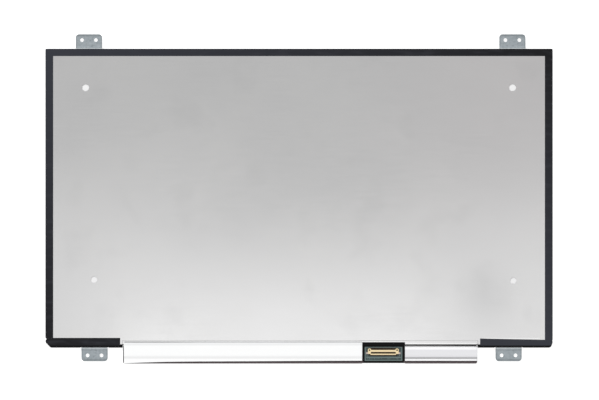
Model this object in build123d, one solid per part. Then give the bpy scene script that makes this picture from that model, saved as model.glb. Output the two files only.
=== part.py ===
from build123d import *
import os

# Slim laptop screen module lying on its screen face, seen from its back.
# X runs to the right along the longer edge, Y to the upper edge, Z out of the back.
# The origin is the middle of the body's outline, on the screen face. Sizes are in millimetres.

# Body outline, measured over the edge tape
body_width = 320.4
body_height = 188.9
top_corner_radius = 0.8
lower_left_corner_cut = 3.3
lower_right_corner_cut_width = 1.2
lower_right_corner_cut_height = 3.0
lower_corner_radius = 2.0
back_edge_radius = 0.6

# Thickness of each layer, from the screen face to the back
polariser_thickness = 0.2
glass_thickness = 0.5
rim_tape_thickness = 0.06
cell_air_gap = 0.05
diffuser_thickness = 0.12
prism_thickness = 0.16
light_guide_thickness = 0.6
light_guide_entry_thickness = 0.75
reflector_thickness = 0.19
plate_thickness = 0.3
tape_thickness = 0.08

# Mould frame
frame_wall = 1.0
frame_seat = 2.0
frame_lower_bar = 3.1
frame_rib = 1.45
left_notch_depth = 0.85
left_notch_height = 2.0
left_notch_rise = 5.6
right_notch_depth = 0.35
right_notch_height = 0.9
right_notch_rise = 4.7

# Display cell
glass_clearance = 0.3
driver_ledge = 3.6
polariser_inset = 2.2
polariser_lower_inset = 1.0

# Optical sheets and light guide, with the ears that locate them in the frame
sheet_clearance = 0.4
light_guide_clearance = 0.25
sheet_lower_gap = 1.4
ear_width = 6.0
ear_height = 1.2
ear_clearance = 0.3
sheet_ear_inset = 60.0
light_guide_ear_rise = 12.0
entry_lip = 0.6
entry_taper = 0.6

# Light bar
flex_thickness = 0.12
flex_width = 3.0
flex_end_inset = 2.0
led_length = 3.8
led_depth = 1.0
led_height = 0.75
led_pitch = 9.2
led_gap = 0.1
led_space = 1.6
led_lens_width = 3.2
led_lens_height = 0.45
led_lens_depth = 0.25
tail_width = 8.0
tail_pad = 2.5
tail_rise_start = 0.25
tail_landing = 1.1
tail_notch_clearance = 0.5

# Back plate
plate_inset = 1.3
plate_lower_inset = 2.25
plate_clearance = 0.1
plate_corner_radius = 0.6
margin_height = 2.4
margin_drop = 0.15
margin_run = 0.3
margin_slit = 0.12
cable_notch_depth = 1.35
upper_hole_diameter = 4.4
upper_hole_inset = 25.45
upper_hole_drop = 24.6
lower_hole_diameter = 3.9
lower_left_hole_inset = 30.75
lower_left_hole_rise = 43.1
lower_right_hole_inset = 24.9
lower_right_hole_rise = 42.45

# Edge tape and ledge tape
top_tape_width = 4.7
side_tape_width = 5.0
lower_left_tape_width = 6.3
lower_right_tape_width = 5.9
lower_right_tape_skew = 0.9
lower_tape_rise = 1.5
tape_front_leg = 3.0
tape_end_gap = 1.6
tape_joint_gap = 0.02
ledge_tape_lap = 0.8
ledge_tape_inset = 0.1

# Brackets
bracket_thickness = 0.4
bracket_width = 16.5
bracket_top_reach = 9.2
bracket_bottom_reach = 8.5
bracket_tail = 2.6
bracket_tail_front = 1.9
bracket_drop = 0.4
bracket_bend_start = 0.8
bracket_bend_run = 0.9
bracket_bend_radius = 0.5
bracket_corner_radius = 2.0
bracket_hole_diameter = 2.4
bracket_hole_spacing = 8.8
bracket_hole_from_tip = 3.65
bracket_anchor_diameter = 1.2
bracket_anchor_depth = 1.4
bracket_relief_depth = 0.35
bracket_relief_margin = 0.8
bracket_tape_clearance = 0.15
top_left_bracket_inset = 27.4
top_right_bracket_inset = 25.35
bottom_left_bracket_inset = 30.95
bottom_right_bracket_inset = 27.75

# Control board
board_thickness = 0.6
board_height = 10.95
board_reach = 9.75
board_left_inset = 48.9
board_right_inset = 47.5
board_clearance = 0.3
board_corner_radius = 0.6

# Driver films and chips
driver_count = 4
driver_film_width = 28.0
driver_film_thickness = 0.07
driver_film_glass_lap = 1.2
driver_film_board_lap = 1.5
driver_film_slot_clearance = 0.5
driver_chip_length = 16.0
driver_chip_depth = 1.1
driver_chip_thickness = 0.4
driver_chip_clearance = 0.1

# Insulating tape and cover films on the board
insulator_thickness = 0.08
insulator_upper_strip = 0.65
insulator_upper_overhang = 0.29
insulator_lower_strip = 1.4
insulator_lower_overhang = 0.3
insulator_end_strip = 4.0
insulator_window_left = 11.85
insulator_window_right = 12.2
film_thickness = 0.1
film_level = 0.98
film_gap_left = 13.3
film_gap_right = 13.7
film_left_end_inset = 0.65
film_right_end_inset = 0.1
film_left_lap = 1.05
film_left_overhang = 0.2
film_right_upper_inset = 0.1
film_right_landing = 0.5
film_right_slope = 1.1
film_crease_rise = 3.7
film_lower_inset = 1.3
film_lower_landing = 1.4
film_bend_radius = 0.3
film_wedge_length = 45.0
film_wedge_height = 1.5

# Board-mounted chips
timing_chip_size = 6.0
timing_chip_height = 0.8
timing_chip_offset = 70.0
memory_chip_length = 5.0
memory_chip_width = 4.0
memory_chip_height = 0.85
memory_chip_offset = 24.0
backlight_chip_size = 4.0
backlight_chip_height = 0.75
backlight_chip_offset = 36.0
inductor_size = 4.0
inductor_height = 0.85
inductor_offset = 28.0
inductor_corner_radius = 0.8
chip_row_drop = 3.4
capacitor_length = 1.6
capacitor_width = 0.8
capacitor_height = 0.8
capacitor_pitch = 3.2
capacitor_row_count = 5
capacitor_row_drop = 4.6
capacitor_row_offsets = (42.0, 78.0)

# Connector, from its mouth at the lower side to its solder tails at the upper side
contact_count = 30
contact_pitch = 0.5
contact_width = 0.2
contact_thickness = 0.12
contact_tip_setback = 0.24
contact_tip_length = 0.48
contact_tip_height = 0.5
connector_inset = 106.95
connector_drop = 0.05
connector_depth = 4.45
housing_end_wall = 0.95
housing_lip = 0.4
housing_depth = 4.6
housing_standoff = 0.05
housing_top = 0.85
mouth_side_room = 0.5
mouth_depth = 2.45
mouth_floor = 0.22
mouth_height = 0.46
contact_slot_clearance = 0.03
shell_thickness = 0.15
shell_gap = 0.15
shell_depth = 3.15
shell_slot_front = 0.8
shell_front_inset = 0.9
shell_slot_depth = 1.05
shell_slot_end = 1.15
shell_ear_radius = 1.1
shell_ear_hole_diameter = 1.0
shell_ear_inset = 0.3
shell_ear_setback = 3.0
shell_post_overhang = 0.7
shell_post_setback = 0.6
shell_lug_length = 2.0
shell_lug_depth = 1.2
shell_lug_setback = 0.45

# Outline positions worked out from the sizes above
right = body_width / 2
left = -right
top = body_height / 2
bottom = -top
board_left = left + board_left_inset
board_right = right - board_right_inset
board_bottom = bottom - board_reach
board_top = board_bottom + board_height
recess_left = board_left - board_clearance
recess_right = board_right + board_clearance
recess_top = board_top + board_clearance
pocket_bottom = recess_top + frame_rib
pocket_top = top - tape_thickness - frame_wall
pocket_right = right - tape_thickness - frame_wall
glass_bottom = pocket_bottom + glass_clearance
glass_top = pocket_top - glass_clearance
glass_right = pocket_right - glass_clearance
ledge_bottom = glass_bottom + driver_ledge
cavity_bottom = recess_top + frame_lower_bar
cavity_top = pocket_top - frame_seat
cavity_right = pocket_right - frame_seat
light_guide_bottom = cavity_bottom + led_space
plate_right = right - plate_inset
plate_top = top - plate_inset
plate_bottom = bottom + plate_lower_inset
margin_line = plate_bottom + margin_height
connector_x = right - connector_inset
film_left_end = connector_x - film_gap_left
film_right_end = connector_x + film_gap_right
driver_pitch = (board_right - board_left) / driver_count
chip_row = board_top - chip_row_drop - insulator_upper_strip

# Layer levels worked out from the thicknesses above
colour_filter_front = polariser_thickness
array_front = colour_filter_front + glass_thickness
array_back = array_front + glass_thickness
seat_front = array_back + rim_tape_thickness
rear_polariser_back = array_back + polariser_thickness
upper_diffuser_front = rear_polariser_back + cell_air_gap
upper_prism_front = upper_diffuser_front + diffuser_thickness
lower_prism_front = upper_prism_front + prism_thickness
lower_diffuser_front = lower_prism_front + prism_thickness
light_guide_front = lower_diffuser_front + diffuser_thickness
light_guide_back = light_guide_front + light_guide_thickness
plate_front = light_guide_back + reflector_thickness
plate_back = plate_front + plate_thickness
tape_back = plate_back + tape_thickness
wall_front = colour_filter_front
tape_front = wall_front - tape_thickness
board_front = array_front
board_back = board_front + board_thickness
insulator_back = board_back + insulator_thickness
margin_back = plate_back - margin_drop
margin_front = plate_front - margin_drop


def block(x, y, z):
    """A box between two limits along each axis."""
    middle = [(low + high) / 2 for low, high in (x, y, z)]
    return Pos(*middle) * Box(x[1] - x[0], y[1] - y[0], z[1] - z[0])


def layer(sketch, z):
    """A flat sketch given thickness between two levels."""
    return extrude(Pos(0, 0, z[0]) * sketch, z[1] - z[0], dir=(0, 0, 1))


def panel(x, y):
    """A plain rectangle between two limits along each axis."""
    return Pos((x[0] + x[1]) / 2, (y[0] + y[1]) / 2) * Rectangle(x[1] - x[0], y[1] - y[0])


def body_outline(inset):
    """The outline of the body, with its lower corners cut off askew, set in by one distance all round."""
    outline = Polygon(
        (left, top),
        (left, bottom + lower_left_corner_cut),
        (left + lower_left_corner_cut, bottom),
        (right - lower_right_corner_cut_width, bottom),
        (right, bottom + lower_right_corner_cut_height),
        (right, top),
        align=None,
    )
    outline = fillet(outline.vertices().filter_by_position(Axis.Y, 0, top), top_corner_radius)
    outline = fillet(outline.vertices().filter_by_position(Axis.Y, bottom, 0), lower_corner_radius)
    return offset(outline, -inset) if inset else outline


def body_solid(inset, z):
    """The body between two levels, with its edge rounded at the back."""
    solid = layer(body_outline(inset), z)
    back_edges = solid.faces().sort_by(Axis.Z)[-1].outer_wire().edges()
    return fillet(back_edges, back_edge_radius - inset)


def across(sketch, x):
    """A profile drawn in Y and Z, run along X between two limits."""
    return extrude(Plane.YZ.offset(x[0]) * sketch, x[1] - x[0], dir=(1, 0, 0))


def bent_sheet(path, thickness, radius):
    """The profile of a sheet that follows a path drawn on its front face."""
    return make_face(offset(FilletPolyline(path, radius=radius), thickness, side=Side.LEFT))


def sheet_with_ears():
    """The outline of one optical sheet, with two locating ears on its upper edge."""
    half = cavity_right - sheet_clearance
    upper = cavity_top - sheet_clearance
    outline = panel((-half, half), (light_guide_bottom + sheet_lower_gap, upper))
    for ear_x in sheet_ear_positions():
        outline += panel((ear_x - ear_width / 2, ear_x + ear_width / 2), (upper, cavity_top + ear_height))
    return outline


def sheet_ear_positions():
    return left + sheet_ear_inset, right - sheet_ear_inset


def front_polariser():
    half = glass_right - polariser_inset
    outline = panel((-half, half), (ledge_bottom + polariser_lower_inset, glass_top - polariser_inset))
    return layer(outline, (0, colour_filter_front))


def colour_filter_glass():
    outline = panel((-glass_right, glass_right), (ledge_bottom, glass_top))
    return layer(outline, (colour_filter_front, array_front))


def array_glass():
    outline = panel((-glass_right, glass_right), (glass_bottom, glass_top))
    return layer(outline, (array_front, array_back))


def rear_polariser():
    half = glass_right - polariser_inset
    outline = panel((-half, half), (ledge_bottom + polariser_lower_inset, glass_top - polariser_inset))
    return layer(outline, (array_back, rear_polariser_back))


def rim_tape():
    outline = panel((-glass_right, glass_right), (glass_bottom, glass_top))
    outline -= panel((-cavity_right, cavity_right), (cavity_bottom, cavity_top))
    return layer(outline, (array_back, seat_front))


def light_guide():
    """A clear plate with a thicker entry lip beside the LEDs and an ear on each side."""
    half = cavity_right - light_guide_clearance
    upper = cavity_top - light_guide_clearance
    lip_front = light_guide_back - light_guide_entry_thickness
    lip_end = light_guide_bottom + entry_lip
    profile = Polygon(
        (light_guide_bottom, light_guide_back),
        (light_guide_bottom, lip_front),
        (lip_end, lip_front),
        (lip_end + entry_taper, light_guide_front),
        (upper, light_guide_front),
        (upper, light_guide_back),
        align=None,
    )
    guide = across(profile, (-half, half))
    ear_y = light_guide_bottom + light_guide_ear_rise
    reach = cavity_right + ear_height
    ears = block((-reach, reach), (ear_y, ear_y + ear_width), (light_guide_front, light_guide_back))
    return guide + ears


def reflector_sheet():
    half = cavity_right - light_guide_clearance
    lower = cavity_bottom + flex_width + light_guide_clearance
    outline = panel((-half, half), (lower, cavity_top - light_guide_clearance))
    return layer(outline, (light_guide_back, plate_front))


def tail_x():
    """The light bar's tail passes midway between the first two driver films."""
    middle = board_left + driver_pitch
    return middle - tail_width / 2, middle + tail_width / 2


def light_bar_flex():
    """The strip under the LEDs and the tail that slopes down to its pads on the board."""
    half = cavity_right - flex_end_inset
    strip_front = plate_front - flex_thickness
    lower = cavity_bottom + light_guide_clearance / 2
    strip = block((-half, half), (lower, cavity_bottom + flex_width), (strip_front, plate_front))
    landing = board_top - tail_landing
    path = [
        (landing - tail_pad, board_back),
        (landing, board_back),
        (cavity_bottom + tail_rise_start, strip_front),
        (cavity_bottom + flex_width, strip_front),
    ]
    tail = across(bent_sheet(path, flex_thickness, flex_thickness), tail_x())
    return strip + tail


def leds():
    """The row of side-view LEDs, each with a lens window that faces the light guide."""
    strip_front = plate_front - flex_thickness
    face = light_guide_bottom - led_gap
    run = 2 * (cavity_right - flex_end_inset) - led_length
    count = int(run / led_pitch) + 1
    half = led_length / 2
    package = block((-half, half), (face - led_depth, face), (strip_front - led_height, strip_front))
    middle = strip_front - led_height / 2
    lens = Pos(0, face, middle) * Box(led_lens_width, 2 * led_lens_depth, led_lens_height)
    package -= lens
    first = -(count - 1) * led_pitch / 2
    return Compound([Pos(first + index * led_pitch, 0, 0) * package for index in range(count)])


def plate_holes():
    """Centre, diameter of each round tooling hole in the back plate."""
    upper_y = top - upper_hole_drop
    return [
        (left + upper_hole_inset, upper_y, upper_hole_diameter),
        (right - upper_hole_inset, upper_y, upper_hole_diameter),
        (left + lower_left_hole_inset, bottom + lower_left_hole_rise, lower_hole_diameter),
        (right - lower_right_hole_inset, bottom + lower_right_hole_rise, lower_hole_diameter),
    ]


def back_plate():
    """Flat sheet with four tooling holes; its lower margin above the board steps in by one film."""
    outline = panel((-plate_right, plate_right), (plate_bottom, plate_top))
    outline = fillet(outline.vertices(), plate_corner_radius)
    outline -= panel((recess_left, recess_right), (plate_bottom, margin_line))
    for x, y, diameter in plate_holes():
        outline -= Pos(x, y) * Circle(diameter / 2)
    plate = layer(outline, (plate_front, plate_back))
    step = Polygon(
        (margin_line, plate_front),
        (margin_line, plate_back),
        (margin_line - margin_run, margin_back),
        (plate_bottom, margin_back),
        (plate_bottom, margin_front),
        (margin_line - margin_run, margin_front),
        align=None,
    )
    plate += across(step, (recess_left + margin_slit, recess_right - margin_slit))
    notch_y = (plate_bottom, plate_bottom + cable_notch_depth)
    return plate - block((film_left_end, film_right_end), notch_y, (margin_front, plate_back))


def bracket(x, reach, lower):
    """Joggled steel tab with its tail moulded into the frame, turned about for the lower edge."""
    tab_front = bracket_tail_front - bracket_drop
    bend_end = bracket_bend_start + bracket_bend_run
    path = [
        (-bracket_tail, bracket_tail_front),
        (bracket_bend_start, bracket_tail_front),
        (bend_end, tab_front),
        (reach, tab_front),
    ]
    half = bracket_width / 2
    tab = across(bent_sheet(path, bracket_thickness, bracket_bend_radius), (-half, half))
    tip_corners = tab.edges().filter_by(Axis.Z).group_by(Axis.Y)[-1]
    tab = fillet(tip_corners, bracket_corner_radius)
    for side in (-1, 1):
        hole_x = side * bracket_hole_spacing / 2
        drill = Cylinder(bracket_hole_diameter / 2, 4 * bracket_thickness)
        anchor = Cylinder(bracket_anchor_diameter / 2, 4 * bracket_thickness)
        tab -= Pos(hole_x, reach - bracket_hole_from_tip, tab_front) * drill
        tab -= Pos(hole_x, -bracket_anchor_depth, bracket_tail_front) * anchor
    if lower:
        return Pos(x, bottom, 0) * Rot(0, 0, 180) * tab
    return Pos(x, top, 0) * tab


def brackets():
    return {
        "bracket_top_left": bracket(left + top_left_bracket_inset, bracket_top_reach, False),
        "bracket_top_right": bracket(right - top_right_bracket_inset, bracket_top_reach, False),
        "bracket_bottom_left": bracket(left + bottom_left_bracket_inset, bracket_bottom_reach, True),
        "bracket_bottom_right": bracket(right - bottom_right_bracket_inset, bracket_bottom_reach, True),
    }


def lower_bracket_reliefs():
    """The shallow set-back of the lower edge behind each lower bracket."""
    half = bracket_width / 2 + bracket_relief_margin
    cuts = []
    for x in (left + bottom_left_bracket_inset, right - bottom_right_bracket_inset):
        cuts.append(block((x - half, x + half), (bottom, bottom + bracket_relief_depth), (0, tape_back)))
    return cuts


def edge_notch(edge, tip, rise, height):
    """A small V in a side edge, near where the side tape meets the lower tape."""
    middle = bottom + rise
    half = height / 2
    corners = [(edge, middle - half), (tip, middle), (edge, middle + half)]
    return layer(Polygon(*corners, align=None), (0, tape_back))


def left_notch():
    return edge_notch(left, left + left_notch_depth, left_notch_rise, left_notch_height)


def right_notch():
    return edge_notch(right, right - right_notch_depth, right_notch_rise, right_notch_height)


def driver_film_positions():
    return [board_left + driver_pitch * (index + 0.5) for index in range(driver_count)]


def mould_frame():
    """Black plastic ring: a wall round the glass, a seat behind it, a pocket for the plate at the back."""
    frame = body_solid(tape_thickness, (wall_front, plate_back))
    frame -= block((-pocket_right, pocket_right), (pocket_bottom, pocket_top), (wall_front, seat_front))
    frame -= block((-cavity_right, cavity_right), (cavity_bottom, cavity_top), (seat_front, plate_back))
    rebate = plate_right + plate_clearance
    rebate_y = (plate_bottom - plate_clearance, plate_top + plate_clearance)
    frame -= block((-rebate, rebate), rebate_y, (plate_front, plate_back))
    recess_x = (recess_left, recess_right)
    frame -= block(recess_x, (bottom, recess_top), (0, plate_back))
    frame -= block(recess_x, (recess_top, cavity_bottom), (margin_front, plate_back))
    for cut in driver_film_slots() + ear_recesses() + lower_bracket_reliefs():
        frame -= cut
    notch = tail_x()
    notch_x = (notch[0] - tail_notch_clearance, notch[1] + tail_notch_clearance)
    frame -= block(notch_x, (recess_top, cavity_bottom), (seat_front, plate_back))
    frame -= left_notch()
    frame -= right_notch()
    for tab in brackets().values():
        frame -= tab
    return frame


def driver_film_slots():
    """The gaps between the ribs of the lower bar, where the driver films and their chips pass."""
    half = driver_film_width / 2 + driver_film_slot_clearance
    depth = (wall_front, array_front + driver_chip_thickness + driver_chip_clearance)
    return [block((x - half, x + half), (recess_top, pocket_bottom), depth) for x in driver_film_positions()]


def ear_recesses():
    """Pockets in the seat for the ears of the optical sheets and of the light guide."""
    room = ear_height + ear_clearance
    half = ear_width / 2 + ear_clearance
    cuts = []
    for x in sheet_ear_positions():
        y = (cavity_top, cavity_top + room)
        cuts.append(block((x - half, x + half), y, (seat_front, light_guide_front)))
    ear_y = light_guide_bottom + light_guide_ear_rise
    sides = (ear_y - ear_clearance, ear_y + ear_width + ear_clearance)
    reach = cavity_right + room
    cuts.append(block((-reach, reach), sides, (light_guide_front, plate_front)))
    return cuts


def driver_film(x):
    """Flexible film bonded to the ledge of the glass at one end and to the board at the other."""
    half = driver_film_width / 2
    y = (board_top - driver_film_board_lap, glass_bottom + driver_film_glass_lap)
    return block((x - half, x + half), y, (array_front - driver_film_thickness, array_front))


def driver_chip(x):
    middle = (recess_top + pocket_bottom) / 2
    half = driver_chip_length / 2
    y = (middle - driver_chip_depth / 2, middle + driver_chip_depth / 2)
    return block((x - half, x + half), y, (array_front, array_front + driver_chip_thickness))


def board_outline():
    outline = panel((board_left, board_right), (board_bottom, board_top))
    return fillet(outline.vertices(), board_corner_radius)


def control_board():
    return layer(board_outline(), (board_front, board_back))


def board_insulator():
    """Black tape on the board, a little past its long edges, open over the chips and round the connector."""
    ends = (board_left + board_corner_radius, board_right - board_corner_radius)
    outline = board_outline() + panel(ends, (board_top, board_top + insulator_upper_overhang))
    lower_y = (board_bottom - insulator_lower_overhang, board_bottom)
    outline += panel((ends[0], film_left_end), lower_y) + panel((film_right_end, ends[1]), lower_y)
    upper = board_top - insulator_upper_strip
    chips_y = (board_bottom + film_lower_inset + film_lower_landing, upper)
    outline -= panel((board_left + insulator_end_strip, film_left_end - insulator_end_strip), chips_y)
    outline -= panel((film_right_end + insulator_end_strip, board_right - insulator_end_strip), chips_y)
    window = (connector_x - insulator_window_left, connector_x + insulator_window_right)
    outline -= panel(window, (board_bottom + insulator_lower_strip, upper))
    return layer(outline, (board_back, insulator_back))


def film_lower_path():
    """The run of a cover film from its crease down to its landing beside the board's lower edge."""
    level = board_back + film_level
    edge = board_bottom + film_lower_inset
    return [
        (edge, insulator_back),
        (edge + film_lower_landing, insulator_back),
        (board_bottom + film_crease_rise, level),
    ]


def cover_film_left():
    """White film from the plate's stepped margin, over the chips, down to a lower edge that runs askew."""
    path = film_lower_path() + [
        (plate_bottom - film_left_overhang, margin_back),
        (plate_bottom + film_left_lap, margin_back),
    ]
    profile = bent_sheet(path, film_thickness, film_bend_radius)
    start = board_left + film_left_end_inset
    edge = board_bottom + film_lower_inset
    corners = [(start, edge - film_wedge_height), (start + film_wedge_length, edge), (start, edge)]
    wedge = layer(Polygon(*corners, align=None), (insulator_back, insulator_back + film_thickness))
    return across(profile, (start, film_left_end)) + wedge


def cover_film_right():
    """White film that stands on the board along both its edges and bridges the chips."""
    level = board_back + film_level
    edge = board_top - film_right_upper_inset
    foot = edge - film_right_landing
    path = film_lower_path() + [
        (foot - film_right_slope, level),
        (foot, insulator_back),
        (edge, insulator_back),
    ]
    profile = bent_sheet(path, film_thickness, film_bend_radius)
    return across(profile, (film_right_end, board_right - film_right_end_inset))


def square_chip(x, length, width, height):
    return Pos(x, chip_row, board_back + height / 2) * Box(length, width, height)


def timing_chip():
    x = board_left + timing_chip_offset
    return square_chip(x, timing_chip_size, timing_chip_size, timing_chip_height)


def memory_chip():
    x = board_right - memory_chip_offset
    return square_chip(x, memory_chip_length, memory_chip_width, memory_chip_height)


def backlight_chip():
    x = board_left + backlight_chip_offset
    return square_chip(x, backlight_chip_size, backlight_chip_size, backlight_chip_height)


def power_inductor():
    outline = RectangleRounded(inductor_size, inductor_size, inductor_corner_radius)
    place = Pos(board_left + inductor_offset, chip_row)
    return layer(place * outline, (board_back, board_back + inductor_height))


def chip_capacitors():
    row = board_top - capacitor_row_drop
    single = Box(capacitor_width, capacitor_length, capacitor_height)
    level = board_back + capacitor_height / 2
    group = []
    for start in capacitor_row_offsets:
        for index in range(capacitor_row_count):
            group.append(Pos(board_left + start + index * capacitor_pitch, row, level) * single)
    return Compound(group)


# Connector limits worked out from its sizes
mouth = bottom - connector_drop - connector_depth
contact_span = (contact_count - 1) * contact_pitch
mouth_half = contact_span / 2 + mouth_side_room
housing_half = mouth_half + housing_end_wall
shell_inner = housing_half + shell_gap
shell_outer = shell_inner + shell_thickness
shell_front_level = board_back + housing_top
housing_front = mouth - housing_lip
housing_back = housing_front + housing_depth
mouth_back = housing_front + mouth_depth


def contact_positions():
    return [connector_x - contact_span / 2 + index * contact_pitch for index in range(contact_count)]


def connector_housing():
    """Dark moulding with an open mouth, and a slot behind it for each contact."""
    body = block(
        (connector_x - housing_half, connector_x + housing_half),
        (housing_front, housing_back),
        (board_back + housing_standoff, board_back + housing_top),
    )
    floor = board_back + mouth_floor
    body -= block(
        (connector_x - mouth_half, connector_x + mouth_half),
        (housing_front, mouth_back),
        (floor, floor + mouth_height),
    )
    half = contact_width / 2 + contact_slot_clearance
    slot_top = floor + mouth_height / 2
    for x in contact_positions():
        body -= block((x - half, x + half), (mouth_back, housing_back), (board_back, slot_top))
    return body


def connector_contacts():
    """Thirty formed contacts: a solder tail, a riser, and a spring beam with a raised tip in the mouth."""
    floor = board_back + mouth_floor
    beam_top = floor + contact_thickness
    tail_end = mouth + connector_depth
    tip = housing_front + contact_tip_setback
    riser = housing_back - contact_thickness
    profile = Polygon(
        (tail_end, board_back),
        (tail_end, board_back + contact_thickness),
        (housing_back + contact_thickness, board_back + contact_thickness),
        (riser, beam_top),
        (tip + contact_tip_length, beam_top),
        (tip + contact_tip_length / 2, board_back + contact_tip_height),
        (tip, beam_top),
        (tip, floor),
        (riser - contact_thickness, floor),
        (housing_back, board_back),
        align=None,
    )
    half = contact_width / 2
    return Compound([across(profile, (x - half, x + half)) for x in contact_positions()])


def connector_shell():
    """Plated cover: a slotted top, a post with a ring ear at each end, and lugs soldered to the board."""
    level = (shell_front_level, shell_front_level + shell_thickness)
    top_plate = panel((-shell_outer, shell_outer), (0, shell_depth))
    slot_half = shell_outer - shell_slot_end
    top_plate -= panel((-slot_half, slot_half), (shell_slot_front, shell_slot_front + shell_slot_depth))
    post_end = shell_outer + shell_post_overhang
    for side in (-1, 1):
        ear = Pos(side * (shell_outer - shell_ear_inset), shell_ear_setback)
        post_x = sorted((side * slot_half, side * post_end))
        corner_x = sorted((side * (shell_outer - shell_front_inset), side * shell_outer))
        top_plate -= panel(corner_x, (0, shell_post_setback))
        top_plate += panel(post_x, (shell_post_setback, shell_ear_setback)) + ear * Circle(shell_ear_radius)
        top_plate -= ear * Circle(shell_ear_hole_diameter / 2)
    shell = layer(Pos(connector_x, mouth) * top_plate, level)
    lug_y = (mouth + shell_lug_setback, mouth + shell_lug_setback + shell_lug_depth)
    wall_y = (mouth + shell_post_setback, mouth + shell_ear_setback - shell_ear_radius)
    for side in (-1, 1):
        inner = connector_x + side * shell_inner
        outer = connector_x + side * shell_outer
        lug_end = outer + side * shell_lug_length
        shell += block(sorted((inner, outer)), wall_y, (board_back, shell_front_level))
        shell += block(sorted((inner, lug_end)), lug_y, (board_back, board_back + shell_thickness))
    return shell


def bracket_passages():
    """The slits that the upper brackets need in the edge tape."""
    half = bracket_width / 2 + bracket_tape_clearance
    slit_front = bracket_tail_front - bracket_tape_clearance
    slit_back = bracket_tail_front + bracket_thickness + bracket_tape_clearance
    cuts = []
    for x in (left + top_left_bracket_inset, right - top_right_bracket_inset):
        cuts.append(block((x - half, x + half), (top - 2 * tape_thickness, top), (slit_front, slit_back)))
    return cuts


def tape_skin():
    """A skin of tape over the whole outside of the frame and plate, from which the strips are cut."""
    return body_solid(0, (tape_front, tape_back)) - body_solid(tape_thickness, (wall_front, plate_back))


def side_tape_ends():
    """Where the left and right strips stop, just above the lower strips."""
    right_end = bottom + lower_right_tape_width - lower_right_tape_skew
    return bottom + lower_left_tape_width + tape_joint_gap, right_end + 2 * tape_joint_gap


def lower_tape(corners):
    """One lower strip: flat on the back, with the rounded lower edge of the frame left bare."""
    return layer(Polygon(*corners, align=None) & body_outline(back_edge_radius), (plate_back, tape_back))


def edge_tapes():
    """The five strips: three wrap the edge from back to front, the two lower ones lie flat."""
    skin = tape_skin()
    inner = right - side_tape_width
    front_inner = right - tape_front_leg
    middle = (wall_front + plate_back) / 2
    wrap = skin - block((-inner, inner), (bottom, top - top_tape_width), (middle, tape_back))
    wrap -= block((-front_inner, front_inner), (bottom, top - tape_front_leg), (tape_front, middle))
    through = (tape_front, tape_back)
    side_top = top - top_tape_width
    left_end, right_end = side_tape_ends()
    strips = {
        "edge_tape_left": wrap & block((left, -inner), (left_end, side_top), through),
        "edge_tape_right": wrap & block((inner, right), (right_end, side_top), through),
        "edge_tape_top": wrap & block((left, right), (side_top, top), through),
    }
    lower_edge = bottom + lower_tape_rise
    left_top = bottom + lower_left_tape_width
    left_stop = board_left - tape_end_gap
    strips["edge_tape_bottom_left"] = lower_tape(
        [(left, lower_edge), (left_stop, lower_edge), (left_stop, left_top), (left, left_top)]
    )
    right_top = bottom + lower_right_tape_width
    right_start = board_right + tape_end_gap
    askew_top = right_top - lower_right_tape_skew
    strips["edge_tape_bottom_right"] = lower_tape(
        [(right_start, lower_edge), (right, lower_edge), (right, askew_top), (right_start, right_top)]
    )
    for cut in bracket_passages():
        strips["edge_tape_top"] -= cut
    for side, notch in (("left", left_notch()), ("right", right_notch())):
        strips[f"edge_tape_{side}"] -= notch
        strips[f"edge_tape_bottom_{side}"] -= notch
    return strips


def ledge_tape():
    """Black strip on the screen side, from the front glass over the driver films to the lower bar."""
    inner = right - tape_front_leg - ledge_tape_inset
    outline = panel((left, right), (bottom, min(side_tape_ends()) - ledge_tape_inset))
    outline += panel((-inner, inner), (bottom, ledge_bottom + ledge_tape_lap))
    outline &= body_outline(tape_thickness + ledge_tape_inset)
    outline -= panel((recess_left, recess_right), (bottom, recess_top))
    strip = layer(outline, (tape_front, wall_front))
    for cut in lower_bracket_reliefs():
        strip -= cut
    return strip


def optical_sheet(front, thickness):
    return layer(sheet_with_ears(), (front, front + thickness))


nodes = {
    "front_polariser": front_polariser(),
    "colour_filter_glass": colour_filter_glass(),
    "array_glass": array_glass(),
    "rear_polariser": rear_polariser(),
    "rim_tape": rim_tape(),
    "upper_diffuser": optical_sheet(upper_diffuser_front, diffuser_thickness),
    "upper_prism_sheet": optical_sheet(upper_prism_front, prism_thickness),
    "lower_prism_sheet": optical_sheet(lower_prism_front, prism_thickness),
    "lower_diffuser": optical_sheet(lower_diffuser_front, diffuser_thickness),
    "light_guide": light_guide(),
    "reflector_sheet": reflector_sheet(),
    "light_bar_flex": light_bar_flex(),
    "leds": leds(),
    "mould_frame": mould_frame(),
    "back_plate": back_plate(),
    "ledge_tape": ledge_tape(),
    "control_board": control_board(),
    "board_insulator": board_insulator(),
    "cover_film_left": cover_film_left(),
    "cover_film_right": cover_film_right(),
    "timing_chip": timing_chip(),
    "memory_chip": memory_chip(),
    "backlight_chip": backlight_chip(),
    "power_inductor": power_inductor(),
    "chip_capacitors": chip_capacitors(),
    "connector_housing": connector_housing(),
    "connector_contacts": connector_contacts(),
    "connector_shell": connector_shell(),
}
nodes.update(brackets())
nodes.update(edge_tapes())
for number, film_x in enumerate(driver_film_positions(), start=1):
    nodes[f"driver_film_{number}"] = driver_film(film_x)
    nodes[f"driver_chip_{number}"] = driver_chip(film_x)

os.makedirs("parts", exist_ok=True)
for name, shape in nodes.items():
    export_step(shape, f"parts/{name}.step")
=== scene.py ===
import math

import bmesh
import bpy
from mathutils import Matrix, Vector


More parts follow.
